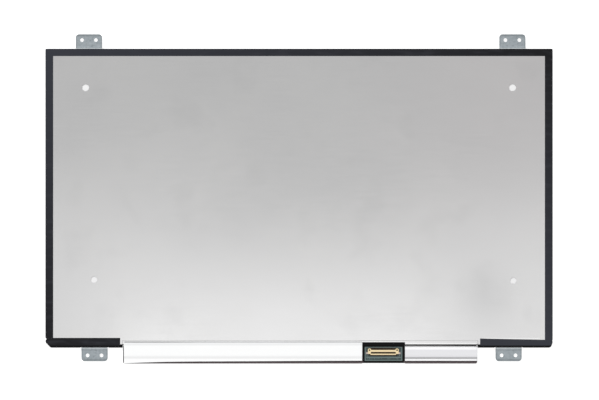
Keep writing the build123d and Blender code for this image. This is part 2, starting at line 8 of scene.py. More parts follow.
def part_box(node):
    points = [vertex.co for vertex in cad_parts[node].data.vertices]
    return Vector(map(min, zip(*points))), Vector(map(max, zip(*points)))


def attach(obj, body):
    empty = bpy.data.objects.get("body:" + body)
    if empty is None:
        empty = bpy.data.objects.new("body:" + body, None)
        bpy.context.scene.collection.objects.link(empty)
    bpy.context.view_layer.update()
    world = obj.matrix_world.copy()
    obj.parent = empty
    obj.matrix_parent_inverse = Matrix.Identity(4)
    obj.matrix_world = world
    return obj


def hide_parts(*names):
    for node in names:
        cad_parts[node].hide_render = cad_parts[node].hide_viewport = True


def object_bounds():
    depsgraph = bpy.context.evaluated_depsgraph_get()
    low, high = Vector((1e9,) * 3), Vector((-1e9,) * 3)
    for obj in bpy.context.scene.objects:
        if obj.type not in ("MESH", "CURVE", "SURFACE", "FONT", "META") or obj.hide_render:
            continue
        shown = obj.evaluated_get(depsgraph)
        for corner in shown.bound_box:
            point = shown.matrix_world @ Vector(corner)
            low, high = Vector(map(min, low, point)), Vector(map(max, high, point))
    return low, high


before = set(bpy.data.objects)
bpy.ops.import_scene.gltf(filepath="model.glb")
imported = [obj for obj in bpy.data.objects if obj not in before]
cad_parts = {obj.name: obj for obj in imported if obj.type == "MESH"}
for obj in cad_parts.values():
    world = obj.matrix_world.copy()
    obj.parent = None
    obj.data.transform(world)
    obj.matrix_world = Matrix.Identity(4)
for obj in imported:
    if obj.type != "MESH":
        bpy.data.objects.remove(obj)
cad_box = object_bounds()
mm = 0.001


# Display cell
# Two bonded sheets of thin glass with a polarising film on each side. The front film has a fine anti-glare
# grain; the black mask printed inside the glass round the picture shows as a deeper black border.
def new_finish(name):
    """An empty finish, whose shader is fed by the calls below."""
    finish = bpy.data.materials.new(name)
    finish.use_nodes = True
    return finish


def shader_of(finish):
    """The shader that a finish starts with."""
    return finish.node_tree.nodes["Principled BSDF"]


def add_node(finish, kind, **settings):
    """A new node in a finish, with its settings."""
    made = finish.node_tree.nodes.new(kind)
    for setting, value in settings.items():
        setattr(made, setting, value)
    return made


def feed(finish, socket, value):
    """A socket takes a plain value, or the output of another node."""
    if isinstance(value, bpy.types.NodeSocket):
        finish.node_tree.links.new(value, socket)
    else:
        socket.default_value = value


def place_on(finish, stretch=(1, 1, 1), turn=0):
    """The place on the panel in millimetres, drawn out along its own axes."""
    where = add_node(finish, "ShaderNodeTexCoord")
    ruler = add_node(finish, "ShaderNodeMapping", vector_type="TEXTURE")
    feed(finish, ruler.inputs["Vector"], where.outputs["Object"])
    ruler.inputs["Rotation"].default_value[2] = math.radians(turn)
    ruler.inputs["Scale"].default_value = [s * mm for s in stretch]
    return ruler.outputs["Vector"]


def axes_of(finish, stretch=(1, 1, 1)):
    """The place on the panel, taken apart into its X, Y and Z."""
    apart = add_node(finish, "ShaderNodeSeparateXYZ")
    feed(finish, apart.inputs["Vector"], place_on(finish, stretch))
    return apart.outputs


def cloud(finish, size, stretch=(1, 1, 1), detail=2, turn=0):
    """Soft patches about one size in millimetres across, from 0 to 1."""
    noise = add_node(finish, "ShaderNodeTexNoise")
    feed(finish, noise.inputs["Vector"], place_on(finish, stretch, turn))
    noise.inputs["Scale"].default_value = 1 / size
    noise.inputs["Detail"].default_value = detail
    return noise.outputs["Fac"]


def spread(finish, value, low, high, least, most):
    """A value between low and high turned into one between least and most."""
    scale = add_node(finish, "ShaderNodeMapRange")
    feed(finish, scale.inputs["Value"], value)
    for name, number in (("From Min", low), ("From Max", high), ("To Min", least), ("To Max", most)):
        scale.inputs[name].default_value = number
    return scale.outputs["Result"]


def vary(finish, patches, least, most):
    """Soft patches, which mostly lie between 0.3 and 0.7, turned into values between least and most."""
    return spread(finish, patches, 0.3, 0.7, least, most)


def work_out(finish, operation, first, second=0.0):
    """A sum with one or two values."""
    sum_node = add_node(finish, "ShaderNodeMath", operation=operation)
    feed(finish, sum_node.inputs[0], first)
    feed(finish, sum_node.inputs[1], second)
    return sum_node.outputs["Value"]


def shade(finish, amount, dark, light):
    """A colour between two others; each may be a plain colour or come from another node."""
    mix = add_node(finish, "ShaderNodeMix", data_type="RGBA")
    feed(finish, mix.inputs["Factor"], amount)
    for socket, colour in ((mix.inputs[6], dark), (mix.inputs[7], light)):
        feed(finish, socket, colour if isinstance(colour, bpy.types.NodeSocket) else (*colour, 1))
    return mix.outputs[2]


def relief(finish, height, depth, under=None):
    """Fine unevenness of the surface, its full depth in millimetres."""
    bump = add_node(finish, "ShaderNodeBump")
    feed(finish, bump.inputs["Height"], height)
    bump.inputs["Distance"].default_value = depth * mm
    if under is not None:
        feed(finish, bump.inputs["Normal"], under)
    return bump.outputs["Normal"]


def coat(finish, colour, roughness, normal, **plain):
    """Feeds the shader: colour, roughness and normal from nodes, the rest as plain numbers."""
    shader = shader_of(finish)
    feed(finish, shader.inputs["Base Color"], colour)
    feed(finish, shader.inputs["Roughness"], roughness)
    feed(finish, shader.inputs["Normal"], normal)
    for name, number in plain.items():
        shader.inputs[name.replace("_", " ")].default_value = number


def dress(finish, *nodes):
    """Gives CAD nodes their finish."""
    for name in nodes:
        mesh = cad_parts[name].data
        mesh.materials.clear()
        mesh.materials.append(finish)


def inside(finish, x, y, soft):
    """1 within a rectangle of the panel, 0 outside it, with an edge of the given softness."""
    here = axes_of(finish)
    masks = []
    for axis, (low, high) in (("X", x), ("Y", y)):
        off_centre = work_out(finish, "SUBTRACT", here[axis], (low + high) / 2)
        distance = work_out(finish, "ABSOLUTE", off_centre)
        half = (high - low) / 2
        masks.append(spread(finish, distance, half - soft, half + soft, 1, 0))
    return work_out(finish, "MULTIPLY", *masks)


picture_x = (-154.7, 154.7)
picture_y = (-84.85, 89.1)
mask_softness = 0.08
mask_black = (0.0035, 0.0035, 0.004)
picture_black = (0.0105, 0.0112, 0.0125)
grain_size = 0.12
grain_depth = 0.002
film_refraction = 1.49

screen_film = new_finish("screen_film")
sparkle = cloud(screen_film, grain_size, detail=1)
picture = inside(screen_film, picture_x, picture_y, mask_softness)
film_tone = shade(screen_film, picture, mask_black, picture_black)
dimmed = vary(screen_film, cloud(screen_film, size=60), 0, 0.25)
coat(
    screen_film,
    colour=shade(screen_film, dimmed, film_tone, mask_black),
    roughness=vary(screen_film, sparkle, 0.3, 0.38),
    normal=relief(screen_film, sparkle, grain_depth),
    IOR=film_refraction,
)
dress(screen_film, "front_polariser", "rear_polariser")

glass_tones = ((0.004, 0.0042, 0.005), (0.008, 0.009, 0.01))
glass_wave_depth = 0.0006
glass_refraction = 1.51

cell_glass = new_finish("cell_glass")
coat(
    cell_glass,
    colour=shade(cell_glass, cloud(cell_glass, size=30), *glass_tones),
    roughness=vary(cell_glass, cloud(cell_glass, size=8), 0.05, 0.09),
    normal=relief(cell_glass, cloud(cell_glass, size=12), glass_wave_depth),
    IOR=glass_refraction,
)
dress(cell_glass, "colour_filter_glass", "array_glass")


# Rim tape and ledge tape
# Thin black adhesive tapes: one bonds the glass to the frame's seat, the other covers the driver films along
# the lower edge of the screen side. Rolled down by hand, they keep faint ripples. A painted sheen makes the
# tape paler towards two opposite corners of the panel.
half_panel = (160, 94, 1)
weave_size = 0.35
weave_depth = 0.004
ripple_size = 6.0
ripple_depth = 0.05
dark_tape_tones = ((0.0038, 0.0038, 0.005), (0.007, 0.007, 0.009))
sheen_tape_tones = ((0.0235, 0.0255, 0.0335), (0.0345, 0.0375, 0.0485))
scuffed_tape = (0.034, 0.035, 0.043)

black_tape = new_finish("black_tape")
share = axes_of(black_tape, half_panel)
opposite = work_out(black_tape, "MULTIPLY", share["X"], share["Y"])
# Painted sheen: the tape is paler towards the upper left and lower right corners of the panel.
painted_sheen = spread(black_tape, opposite, 1, -1, 0, 1)
tape_ripple = cloud(black_tape, ripple_size, stretch=(3, 3, 3), detail=3)
weave = cloud(black_tape, weave_size)
scuff = spread(black_tape, cloud(black_tape, size=1.6, stretch=(9, 2, 1), detail=5), 0.5, 0.72, 0, 0.45)
dark_tape = shade(black_tape, weave, *dark_tape_tones)
sheen_tape = shade(black_tape, weave, *sheen_tape_tones)
tape_tone = shade(black_tape, painted_sheen, dark_tape, sheen_tape)
coat(
    black_tape,
    colour=shade(black_tape, scuff, tape_tone, scuffed_tape),
    roughness=vary(black_tape, weave, 0.42, 0.52),
    normal=relief(black_tape, weave, weave_depth, relief(black_tape, tape_ripple, ripple_depth)),
    Specular_IOR_Level=0.22,
)
dress(black_tape, "rim_tape", "ledge_tape")


# Optical sheets
# Two diffusers, two prism films and the moulded acrylic light guide lie loose in the frame behind the
# glass, held by their ears; the white reflector behind them shows through the holes of the back plate.
frost_size = 0.2
frost_depth = 0.006
frost_tones = ((0.82, 0.85, 0.87), (0.9, 0.92, 0.93))

clear_sheet = new_finish("clear_sheet")
frost = cloud(clear_sheet, frost_size, detail=1)
coat(
    clear_sheet,
    colour=shade(clear_sheet, frost, *frost_tones),
    roughness=vary(clear_sheet, frost, 0.25, 0.4),
    normal=relief(clear_sheet, frost, frost_depth),
    Transmission_Weight=0.8,
    IOR=film_refraction,
)
dress(clear_sheet, "upper_diffuser", "upper_prism_sheet", "lower_prism_sheet", "lower_diffuser")
dress(clear_sheet, "light_guide")

pore_size = 0.25
pore_depth = 0.004
reflector_tones = ((0.74, 0.74, 0.745), (0.8, 0.8, 0.8))

white_sheet = new_finish("white_sheet")
pores = cloud(white_sheet, pore_size, detail=3)
coat(
    white_sheet,
    colour=shade(white_sheet, pores, *reflector_tones),
    roughness=vary(white_sheet, pores, 0.5, 0.65),
    normal=relief(white_sheet, pores, pore_depth),
)
dress(white_sheet, "reflector_sheet")


# Light bar
# A strip of amber polyimide flex that carries the row of side-view LEDs; each LED is a white moulded
# package with a yellow phosphor window. The strip's tail is soldered to the control board. The four films
# that join the glass to that board are of the same flex.
amber_over_gap = (0.22, 0.095, 0.018)
amber_over_copper = (0.36, 0.17, 0.045)
copper_run_size = 0.5
copper_run_depth = 0.012

amber_film = new_finish("amber_film")
copper_run = cloud(amber_film, copper_run_size, stretch=(0.6, 8, 1), detail=0)
copper_seen = spread(amber_film, copper_run, 0.47, 0.53, 0, 0.7)
coat(
    amber_film,
    colour=shade(amber_film, copper_seen, amber_over_gap, amber_over_copper),
    roughness=vary(amber_film, copper_run, 0.3, 0.4),
    normal=relief(amber_film, copper_seen, copper_run_depth),
)
driver_numbers = range(1, 5)
dress(amber_film, "light_bar_flex", *[f"driver_film_{number}" for number in driver_numbers])

phosphor_yellow = (0.74, 0.66, 0.32)
package_white = (0.84, 0.8, 0.62)

led_white = new_finish("led_white")
led_cloud = cloud(led_white, size=0.4)
coat(
    led_white,
    colour=shade(led_white, led_cloud, phosphor_yellow, package_white),
    roughness=vary(led_white, led_cloud, 0.35, 0.5),
    normal=relief(led_white, led_cloud, depth=0.004),
)
dress(led_white, "leds")


# Mould frame
# Black glass-filled plastic, injection moulded round the steel brackets. Its texture is that of a fine
# spark-eroded mould; flow leaves faint cloudiness along the bars.
frame_tones = ((0.0022, 0.0022, 0.0025), (0.0048, 0.0048, 0.0052))
eroded_size = 0.16
eroded_depth = 0.012

black_frame = new_finish("black_frame")
eroded = cloud(black_frame, eroded_size)
flow = cloud(black_frame, size=9, stretch=(4, 1, 1), detail=3)
coat(
    black_frame,
    colour=shade(black_frame, flow, *frame_tones),
    roughness=vary(black_frame, eroded, 0.5, 0.64),
    normal=relief(black_frame, eroded, eroded_depth),
    Specular_IOR_Level=0.14,
)
dress(black_frame, "mould_frame")


# Back plate
# Thin rolled aluminium sheet with a satin finish, blanked and pressed in one stroke: four tooling holes,
# and a lower margin that steps in so that the cover film lies flush. Rolling leaves fine lines along X.
# The plate is lighter in some patches, and smudges and rubbing leave it dull in others. Painted shade
# darkens its two lower corners and the line of the step, and a painted highlight lightens some of its edges.
def patchwork(finish, value, patches):
    """Adds soft rectangles, each given as (x, y, softness, strength), to a value."""
    for x, y, soft, strength in patches:
        patch = work_out(finish, "MULTIPLY", inside(finish, x, y, soft), strength)
        value = work_out(finish, "ADD", value, patch)
    return value


rolled_tones = ((0.84, 0.838, 0.842), (0.885, 0.883, 0.883))
blush_satin = (0.89, 0.885, 0.88)
warm_satin = (0.875, 0.842, 0.848)
lighter_satin = (0.96, 0.958, 0.956)
smudge_and_shade_satin = (0.45, 0.45, 0.46)
step_shade_satin = (0.45, 0.45, 0.455)
highlight_satin = (0.99, 0.99, 0.99)
warm_patches = [((70, 260), (0, 170), 50, 0.5)]
lighter_patches = [((-112, -55), (-30, 40), 26, 0.45), ((-112, -66), (-110, -80), 10, 0.5)]
# Painted shade: the lower left and lower right of the plate are darkened, where less light falls.
corner_shade_patches = [((-190, -131), (-140, -28), 22, 0.13), ((90, 146), (-130, -38), 22, 0.13)]
rubbed_x = (106, 128)
rubbed_y = (-76, -47)
step_y = (-90.3, -89.7)
# Painted shade: a dark line along the plate's step, much darker beside the connector's notch.
step_shade_patches = [((-111, 112), step_y, 0.25, 0.03), ((38, 69), step_y, 0.25, 0.26)]
# Painted highlight: thin bands along some plate edges are lightened, as if they caught the light.
edge_highlights = [((66, 112), (-92.4, -91.5)), ((38, 69), (-91.0, -90.35)), ((117, 152), (-88.9, -88.2))]
highlight_softness = 0.2
matt_depth = 0.0015
rolled_depth = 0.0008

silver_plate = new_finish("silver_plate")
rolled = cloud(silver_plate, size=0.35, stretch=(70, 1, 1), detail=3)
blush = cloud(silver_plate, size=55, detail=3)
fine_matt = cloud(silver_plate, size=0.18, detail=1)
rolled_tone = shade(silver_plate, rolled, *rolled_tones)
blush_tone = shade(silver_plate, spread(silver_plate, blush, 0.35, 0.65, 0, 0.5), rolled_tone, blush_satin)
warm_tone = shade(silver_plate, patchwork(silver_plate, 0.0, warm_patches), blush_tone, warm_satin)
lightened_tone = shade(silver_plate, patchwork(silver_plate, 0.0, lighter_patches), warm_tone, lighter_satin)
smudged = spread(silver_plate, cloud(silver_plate, size=30, detail=3), 0.55, 0.75, 0, 0.1)
rubbed_patch = inside(silver_plate, rubbed_x, rubbed_y, soft=10)
rubbed = work_out(silver_plate, "MULTIPLY", rubbed_patch, vary(silver_plate, blush, 0.1, 0.25))
# Smudges and the rubbed patch are the plate's own marks; the corner patches added here are painted shade.
smudged_and_shaded = patchwork(silver_plate, work_out(silver_plate, "ADD", smudged, rubbed), corner_shade_patches)
smudged_and_shaded_tone = shade(silver_plate, smudged_and_shaded, lightened_tone, smudge_and_shade_satin)
edge_highlight = 0.0
for x, y in edge_highlights:
    edge = inside(silver_plate, x, y, highlight_softness)
    edge_highlight = work_out(silver_plate, "MAXIMUM", edge_highlight, edge)
highlighted_tone = shade(silver_plate, edge_highlight, smudged_and_shaded_tone, highlight_satin)
step_shade = patchwork(silver_plate, 0.0, step_shade_patches)
plate_roughness = work_out(
    silver_plate,
    "ADD",
    vary(silver_plate, rolled, 0.2, 0.25),
    vary(silver_plate, blush, -0.02, 0.02),
)
coat(
    silver_plate,
    colour=shade(silver_plate, step_shade, highlighted_tone, step_shade_satin),
    roughness=plate_roughness,
    normal=relief(silver_plate, fine_matt, matt_depth, relief(silver_plate, rolled, rolled_depth)),
    Metallic=1.0,
)
dress(silver_plate, "back_plate")


# Edge tape
# Five strips of the same black tape, wrapped by hand from the back plate round the frame's edge. They hold
# plate and frame together; the lower pair ends beside the board.
strips = ("top", "left", "right", "bottom_left", "bottom_right")
dress(black_tape, *[f"edge_tape_{place}" for place in strips])


# Brackets
# Stamped and joggled tabs of galvanised steel, moulded into the frame. The zinc shows its flat crystals,
# dull stains and draw marks from the press; the sheared edges are rolled over. Painted shade darkens the
# rolled-over edges and a band along the outline, and painted light brightens the root next to the body.
def add_piece(mesh, name, slot, *finishes):
    """Makes a finished mesh a piece of the panel: in place, at the origin, riding on its body."""
    data = bpy.data.meshes.new(name)
    mesh.to_mesh(data)
    mesh.free()
    for finish in finishes:
        data.materials.append(finish)
    piece = bpy.data.objects.new(name, data)
    bpy.context.scene.collection.objects.link(piece)
    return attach(piece, "root")


def eased(node, width, segments=2):
    """A copy of a CAD node with its triangles merged and its sharp edges rolled over."""
    flat_angle = math.radians(1)
    sharp_angle = math.radians(40)
    mesh = bmesh.new()
    mesh.from_mesh(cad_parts[node].data)
    bmesh.ops.remove_doubles(mesh, verts=mesh.verts, dist=0.001 * mm)
    bmesh.ops.dissolve_limit(mesh, angle_limit=flat_angle, verts=mesh.verts, edges=mesh.edges)
    sharp = [edge for edge in mesh.edges if edge.is_manifold and edge.calc_face_angle() > sharp_angle]
    rolled_over = bmesh.ops.bevel(
        mesh,
        geom=sharp,
        offset=width * mm,
        affect="EDGES",
        segments=segments,
        profile=0.5,
        material=-1,
        clamp_overlap=True,
    )
    for face in rolled_over["faces"]:
        face.material_index = 1
        face.smooth = True
    return mesh


full_width = (-200, 200)
crystal_size = 1.3
painted_root_light = (0.84, 0.89, 0.91)


def zinc(name, tones, scratch, rim_x, rim_y, root_y, root_light_strength):
    """Galvanised steel between two tones, with draw marks of a third. Painted shade darkens it in a band
    along its outline, and painted light brightens its root, against the shadow that the body casts there."""
    finish = new_finish(name)
    crystals = add_node(finish, "ShaderNodeTexVoronoi")
    feed(finish, crystals.inputs["Vector"], place_on(finish))
    crystals.inputs["Scale"].default_value = 1 / crystal_size
    crystal_tone = add_node(finish, "ShaderNodeSeparateColor")
    feed(finish, crystal_tone.inputs["Color"], crystals.outputs["Color"])
    stain = spread(finish, cloud(finish, size=1.8, detail=5), 0.54, 0.7, 0, 0.5)
    draw_lines = cloud(finish, size=0.25, stretch=(16, 1, 1), turn=4)
    draw_mark = spread(finish, draw_lines, 0.6, 0.72, 0, 0.5)
    stain_and_rim_shade = [channel * 0.6 for channel in tones[0]]
    stained = shade(finish, stain, shade(finish, crystal_tone.outputs["Red"], *tones), stain_and_rim_shade)
    # Painted shade: the band outside the rim is darkened, standing in for the shade of the rolled-over edge.
    rim_shade = spread(finish, inside(finish, rim_x, rim_y, soft=0.35), 0, 1, 0.6, 0)
    rim_shaded = shade(finish, rim_shade, stained, stain_and_rim_shade)
    marked = shade(finish, draw_mark, rim_shaded, scratch)
    # Painted light: the root next to the body is lightened, against the shadow that the body casts on it.
    root_light = spread(finish, inside(finish, full_width, root_y, soft=0.2), 0, 1, 0, root_light_strength)
    coat(
        finish,
        colour=shade(finish, root_light, marked, painted_root_light),
        roughness=spread(finish, crystal_tone.outputs["Green"], 0, 1, 0.58, 0.7),
        normal=relief(finish, cloud(finish, size=0.3, detail=3), depth=0.006),
        Metallic=0.35,
        Specular_IOR_Level=0.3,
    )
    return finish


edge_roll = 0.12
side_rim = 0.55
tip_rim = 1.3
body_edge = 94.45
flat_tones = ((0.325, 0.365, 0.39), (0.385, 0.425, 0.45))
flat_scratch = (0.51, 0.545, 0.57)
# Painted shade: the rolled-over edge faces get a darker copy of the zinc.
shaded_edge_tones = ((0.19, 0.21, 0.225), (0.27, 0.295, 0.305))
shaded_edge_scratch = (0.41, 0.43, 0.44)
for place in ("top_left", "top_right", "bottom_left", "bottom_right"):
    low, high = (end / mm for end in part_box(f"bracket_{place}"))
    rim_x = (low.x + side_rim, high.x - side_rim)
    rim_y = (low.y, high.y - tip_rim)
    root_y = (body_edge - 1.0, body_edge + 0.4)
    root_light_strength = 0.95
    if place.startswith("bottom"):
        rim_y = (low.y + tip_rim, high.y)
        root_y = (-body_edge - 0.75, -body_edge + 1.0)
        root_light_strength = 0.55
    zones = (rim_x, rim_y, root_y, root_light_strength)
    zinc_steel = zinc(f"zinc_{place}", flat_tones, flat_scratch, *zones)
    shaded_edge = zinc(f"sheared_{place}", shaded_edge_tones, shaded_edge_scratch, *zones)
    tab_mesh = eased(f"bracket_{place}", edge_roll)
    tab = add_piece(tab_mesh, f"screw_tab_{place}", "zinc_steel", zinc_steel, shaded_edge)
    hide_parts(f"bracket_{place}")


# Control board
# A thin glass-cloth board with grey-green solder mask over copper tracks. It hangs below the body on the
# driver films, and carries the timing chip, memory, backlight driver and their small parts.
mask_tones = ((0.026, 0.042, 0.041), (0.036, 0.056, 0.054))
mask_over_copper = (0.058, 0.088, 0.085)
copper_field_depth = 0.02

green_board = new_finish("green_board")
copper_cloud = cloud(green_board, size=0.55, stretch=(5, 1, 1), detail=1)
copper_field = spread(green_board, copper_cloud, 0.48, 0.52, 0, 1)
copper_shown = work_out(green_board, "MULTIPLY", copper_field, 0.4)
mask_tone = shade(green_board, cloud(green_board, size=3, detail=3), *mask_tones)
coat(
    green_board,
    colour=shade(green_board, copper_shown, mask_tone, mask_over_copper),
    roughness=vary(green_board, cloud(green_board, size=0.4), 0.3, 0.42),
    normal=relief(green_board, copper_field, copper_field_depth),
)
dress(green_board, "control_board")


def bar(mesh, x, y, low, high):
    """A flat bar between limits along X and Y and two levels, all in millimetres."""
    size = Vector((x[1] - x[0], y[1] - y[0], high - low)) * mm
    middle = Vector((x[0] + x[1], y[0] + y[1], low + high)) / 2 * mm
    shape = Matrix.Translation(middle) @ Matrix.Diagonal(size.to_4d())
    bmesh.ops.create_cube(mesh, size=1, matrix=shape)


def ring_frame(mesh, low, high, width, level, rise):
    """A rectangular track of one width, standing proud of the board."""
    size = Vector((high[0] - low[0], high[1] - low[1])) * mm
    middle = Vector((low[0] + high[0], low[1] + high[1], 2 * level)) / 2 * mm
    shape = Matrix.Translation(middle) @ Matrix.Diagonal((size.x, size.y, 1, 1))
    made = bmesh.ops.create_grid(mesh, x_segments=1, y_segments=1, size=0.5, matrix=shape)["verts"]
    field = [face for face in mesh.faces if face.verts[0] in made]
    bmesh.ops.inset_region(mesh, faces=field, thickness=width * mm, use_boundary=True)
    ring = [face for face in mesh.faces if face not in field and any(v in made for v in face.verts)]
    bmesh.ops.delete(mesh, geom=field, context="FACES_ONLY")
    walls = bmesh.ops.extrude_face_region(mesh, geom=ring, use_keep_orig=True)
    raised = [item for item in walls["geom"] if isinstance(item, bmesh.types.BMVert)]
    bmesh.ops.translate(mesh, verts=raised, vec=(0, 0, rise * mm))
    bmesh.ops.recalc_face_normals(mesh, faces=mesh.faces)
    # The walls are extruded in no fixed order, so the faces are put in one, along a slanting line.
    slant = Vector((1, 0.37, 0.11))
    mesh.faces.sort(key=lambda face: face.calc_center_median().dot(slant))


track_tones = ((0.115, 0.16, 0.155), (0.16, 0.215, 0.207))
track_green = new_finish("track_green")
track_cloud = cloud(track_green, size=0.4, stretch=(3, 1, 1), detail=3)
coat(
    track_green,
    colour=shade(track_green, track_cloud, *track_tones),
    roughness=vary(track_green, track_cloud, 0.3, 0.42),
    normal=relief(track_green, track_cloud, depth=0.006),
)

copper_height = 0.035
board_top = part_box("control_board")[1].z / mm
copper_top = board_top + copper_height
ring_low = (41.7, -102.72)
ring_high = (65.1, -94.0)
ring_width = 0.55
bus_x = (42.5, 64.3)
bus_y = (-100.85, -100.25)
stub_middles = (43.4, 46.1, 49.3, 52.0, 55.8, 58.1, 61.6)
stub_half_width = 0.1
stub_y = (-101.7, -101.1)
track_mesh = bmesh.new()
ring_frame(track_mesh, ring_low, ring_high, ring_width, board_top, copper_height)
bar(track_mesh, bus_x, bus_y, board_top, copper_top)
for x in stub_middles:
    bar(track_mesh, (x - stub_half_width, x + stub_half_width), stub_y, board_top, copper_top)
add_piece(track_mesh, "board_tracks", "green_board", track_green)

via_left = ((43.0, -99.6), (44.6, -101.5))
via_right = ((62.4, -101.6), (63.6, -99.4))
via_between = ((47.7, -101.5), (50.6, -101.4), (56.9, -101.5))
via_sides = 16
via_foot = 0.3
via_lip = 0.26
via_wall = 0.12
via_depth = 0.03
via_mesh = bmesh.new()
for x, y in (*via_left, *via_right, *via_between):
    pad = bmesh.ops.create_cone(
        via_mesh,
        segments=via_sides,
        radius1=via_foot * mm,
        radius2=via_lip * mm,
        depth=copper_height * mm,
        cap_ends=True,
        matrix=Matrix.Translation(Vector((x, y, board_top + copper_height / 2)) * mm),
    )["verts"]
    caps = [face for face in via_mesh.faces if len(face.verts) == via_sides and face.verts[0] in pad]
    lid = [face for face in caps if face.normal.z > 0.9]
    bmesh.ops.inset_region(via_mesh, faces=lid, thickness=via_wall * mm, depth=-via_depth * mm)
add_piece(via_mesh, "board_vias", "green_board", track_green)

chip_tones = ((0.012, 0.012, 0.012), (0.024, 0.024, 0.025))
chip_black = new_finish("chip_black")
chip_grain = cloud(chip_black, size=0.12)
coat(
    chip_black,
    colour=shade(chip_black, chip_grain, *chip_tones),
    roughness=vary(chip_black, chip_grain, 0.5, 0.66),
    normal=relief(chip_black, chip_grain, depth=0.008),
)
dress(chip_black, "timing_chip", "memory_chip", "backlight_chip", "power_inductor")
dress(chip_black, *[f"driver_chip_{number}" for number in driver_numbers])

ceramic_tones = ((0.3, 0.2, 0.11), (0.42, 0.3, 0.17))
ceramic_tan = new_finish("ceramic_tan")
fired = cloud(ceramic_tan, size=0.3, detail=3)
coat(
    ceramic_tan,
    colour=shade(ceramic_tan, fired, *ceramic_tones),
    roughness=vary(ceramic_tan, fired, 0.4, 0.55),
    normal=relief(ceramic_tan, fired, depth=0.006),
)
dress(ceramic_tan, "chip_capacitors")


# Connector
# Thirty stamped contacts in a dark moulded housing, under a gold-plated shell with a slotted top, a ring ear
# on a moulded peg at each end, and lugs soldered to the board.
moulding_tones = ((0.012, 0.0065, 0.0035), (0.024, 0.014, 0.008))
dark_moulding = new_finish("dark_moulding")
moulded = cloud(dark_moulding, size=0.15)
coat(
    dark_moulding,
    colour=shade(dark_moulding, moulded, *moulding_tones),
    roughness=vary(dark_moulding, moulded, 0.4, 0.55),
    normal=relief(dark_moulding, moulded, depth=0.006),
    Specular_IOR_Level=0.15,
)
dress(dark_moulding, "connector_housing")

gold_tones = ((0.95, 0.74, 0.42), (1.0, 0.84, 0.54))
wetted_lug = (0.62, 0.53, 0.52)
tail_solder_in_shade = (0.22, 0.19, 0.18)
tails_x = (40, 67)
tails_y = (-95.3, -94.0)
solder_level = 1.44
plating_level = 1.52
shell_roll = 0.05

gold = new_finish("gold")
plating = cloud(gold, size=0.5, stretch=(3, 1, 1), detail=3)
above_solder = spread(gold, axes_of(gold)["Z"], solder_level, plating_level, 0, 1)
# Solder below the plating is the contacts' own; the darker tone of the tails along the shell's back edge is
# painted shade.
solder_and_tail_shade = shade(gold, inside(gold, tails_x, tails_y, soft=0.1), wetted_lug, tail_solder_in_shade)
coat(
    gold,
    colour=shade(gold, above_solder, solder_and_tail_shade, shade(gold, plating, *gold_tones)),
    roughness=vary(gold, plating, 0.26, 0.38),
    normal=relief(gold, plating, depth=0.006),
    Metallic=0.8,
)
dress(gold, "connector_contacts")
shell = add_piece(eased("connector_shell", shell_roll), "plated_shell", "gold", gold, gold)
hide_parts("connector_shell")

ear_y = -95.95
peg_foot = 0.45
peg_tip = 0.4
peg_edge = 0.1
peg_below_ear = 0.03
shell_low, shell_high = (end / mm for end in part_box("connector_shell"))
peg_top = shell_high.z - peg_below_ear
peg_height = peg_top - board_top
peg_mesh = bmesh.new()
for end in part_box("connector_housing"):
    middle = Vector((end.x / mm, ear_y, board_top + peg_height / 2)) * mm
    bmesh.ops.create_cone(
        peg_mesh,
        segments=24,
        radius1=peg_foot * mm,
        radius2=peg_tip * mm,
        depth=peg_height * mm,
        cap_ends=True,
        matrix=Matrix.Translation(middle),
    )
near_top = (peg_top - 0.01) * mm
bmesh.ops.bevel(
    peg_mesh,
    geom=[edge for edge in peg_mesh.edges if min(v.co.z for v in edge.verts) > near_top],
    offset=peg_edge * mm,
    affect="EDGES",
    segments=2,
    profile=0.5,
    material=-1,
)
add_piece(peg_mesh, "ear_pegs", "dark_moulding", dark_moulding)

tin_tones = ((0.3, 0.28, 0.275), (0.46, 0.43, 0.42))
solder_tin = new_finish("solder_tin")
tin_cloud = cloud(solder_tin, size=0.12, detail=3)
coat(
    solder_tin,
    colour=shade(solder_tin, tin_cloud, *tin_tones),
    roughness=vary(solder_tin, tin_cloud, 0.24, 0.4),
    normal=relief(solder_tin, tin_cloud, depth=0.01),
    Metallic=0.9,
)


def solder_drop(mesh, x, y, size, fineness):
    """A drop of solder on the board, its lower half sunk in."""
    place = Matrix.Translation(Vector((x, y, board_top)) * mm)
    drop = place @ Matrix.Diagonal((Vector(size) * mm).to_4d())
    bmesh.ops.create_icosphere(mesh, subdivisions=fineness, radius=1, matrix=drop)


contact_count = 30
contact_pitch = 0.5
contacts_low, contacts_high = (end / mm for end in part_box("connector_contacts"))
contacts_middle = (contacts_low.x + contacts_high.x) / 2
toe_reach = 0.02
toe_y = contacts_high.y + toe_reach
toe_size = (0.13, 0.2, 0.1)
lug_inset = 0.2
lug_rows = (-98.4, -97.9, -97.4)
lug_size = (0.38, 0.42, 0.2)
solder_mesh = bmesh.new()
for index in range(contact_count):
    x = contacts_middle + (index - (contact_count - 1) / 2) * contact_pitch
    solder_drop(solder_mesh, x, toe_y, toe_size, 1)
for x in (shell_low.x + lug_inset, shell_high.x - lug_inset):
    for y in lug_rows:
        solder_drop(solder_mesh, x, y, lug_size, 2)
for face in solder_mesh.faces:
    face.smooth = True
add_piece(solder_mesh, "solder_joints", "gold", solder_tin)


# Board insulator
# A die-cut strip of thin black polyester tape over the board, open round the connector and over the chips.
# It shows as the dark surround of the connector and as the dark line along the lower edge.
insulator_tones = ((0.0022, 0.002, 0.002), (0.006, 0.0052, 0.0052))
scuffed_insulator = (0.085, 0.068, 0.071)
lower_strip_x = (-120, 120)
lower_strip_y = (-110, -103.1)
window_x = (40.6, 66.2)
window_y = (-110, -90)

